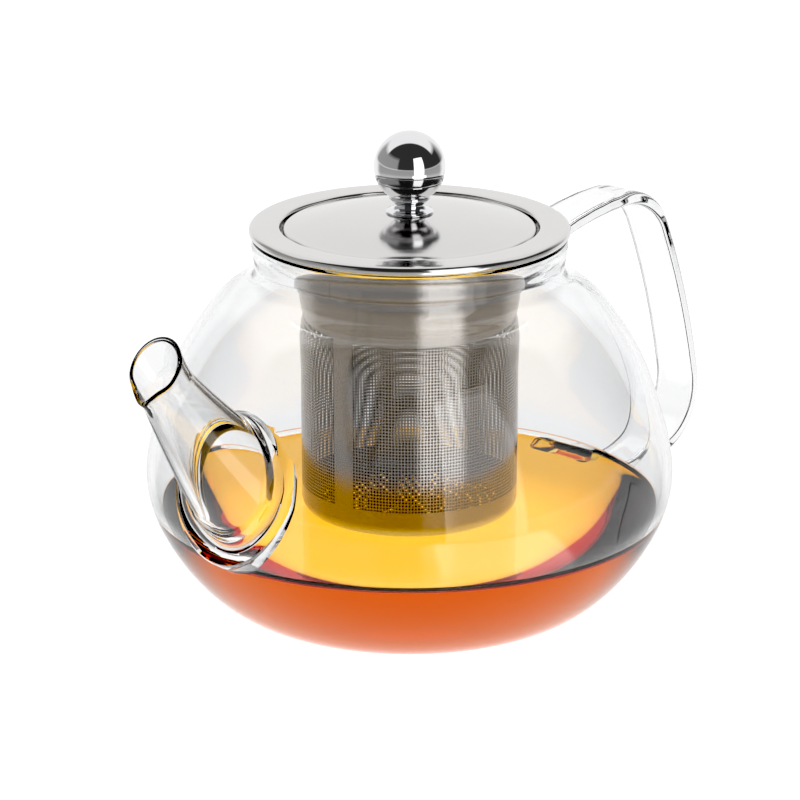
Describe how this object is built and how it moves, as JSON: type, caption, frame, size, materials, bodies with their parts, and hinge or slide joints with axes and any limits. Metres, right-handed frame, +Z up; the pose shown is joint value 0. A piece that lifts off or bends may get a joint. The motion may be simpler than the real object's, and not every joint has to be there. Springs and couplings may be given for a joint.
{
  "type": "teapot",
  "caption": "Clear glass teapot with a welded spout and strap handle, a perforated steel infuser hanging in its neck and a steel lid with a ball knob.",
  "frame": {"origin": "centre of the flat base, on the surface the pot stands on", "axes": "+Z up, spout towards -X, handle towards +X"},
  "size_m": [0.2179, 0.1397, 0.1288],
  "materials": {
    "glass": "clear blown borosilicate, fire polished",
    "polished_steel": "polished stainless steel, soft mirror",
    "perforated_steel": "satin stainless sheet with fine etched holes",
    "chrome": "mirror chrome plate",
    "fastener_steel": "plain turned steel",
    "tea": "clear amber liquid"
  },
  "bodies": {
    "pot": {"glass_base": "glass", "glass_belly_low": "glass", "glass_belly_high": "glass", "glass_shoulder": "glass", "glass_neck": "glass", "glass_spout": "glass", "glass_handle": "glass"},
    "infuser": {"infuser_rim": "polished_steel", "infuser_sleeve": "perforated_steel", "infuser_cup": "perforated_steel"},
    "lid": {"lid_disc": "polished_steel", "lid_skirt": "polished_steel", "knob_foot": "chrome", "knob_collar": "chrome", "knob_ball_lower": "chrome", "knob_ball_upper": "chrome", "knob_washer": "fastener_steel", "knob_screw": "fastener_steel"}
  },
  "joints": [
    {"name": "infuser_lift", "type": "slide", "parent": "pot", "child": "infuser", "axis": [0, 0, 1], "range_m": [0, 0.09]},
    {"name": "lid_lift", "type": "slide", "parent": "infuser", "child": "lid", "axis": [0, 0, 1], "range_m": [0, 0.04]}
  ]
}
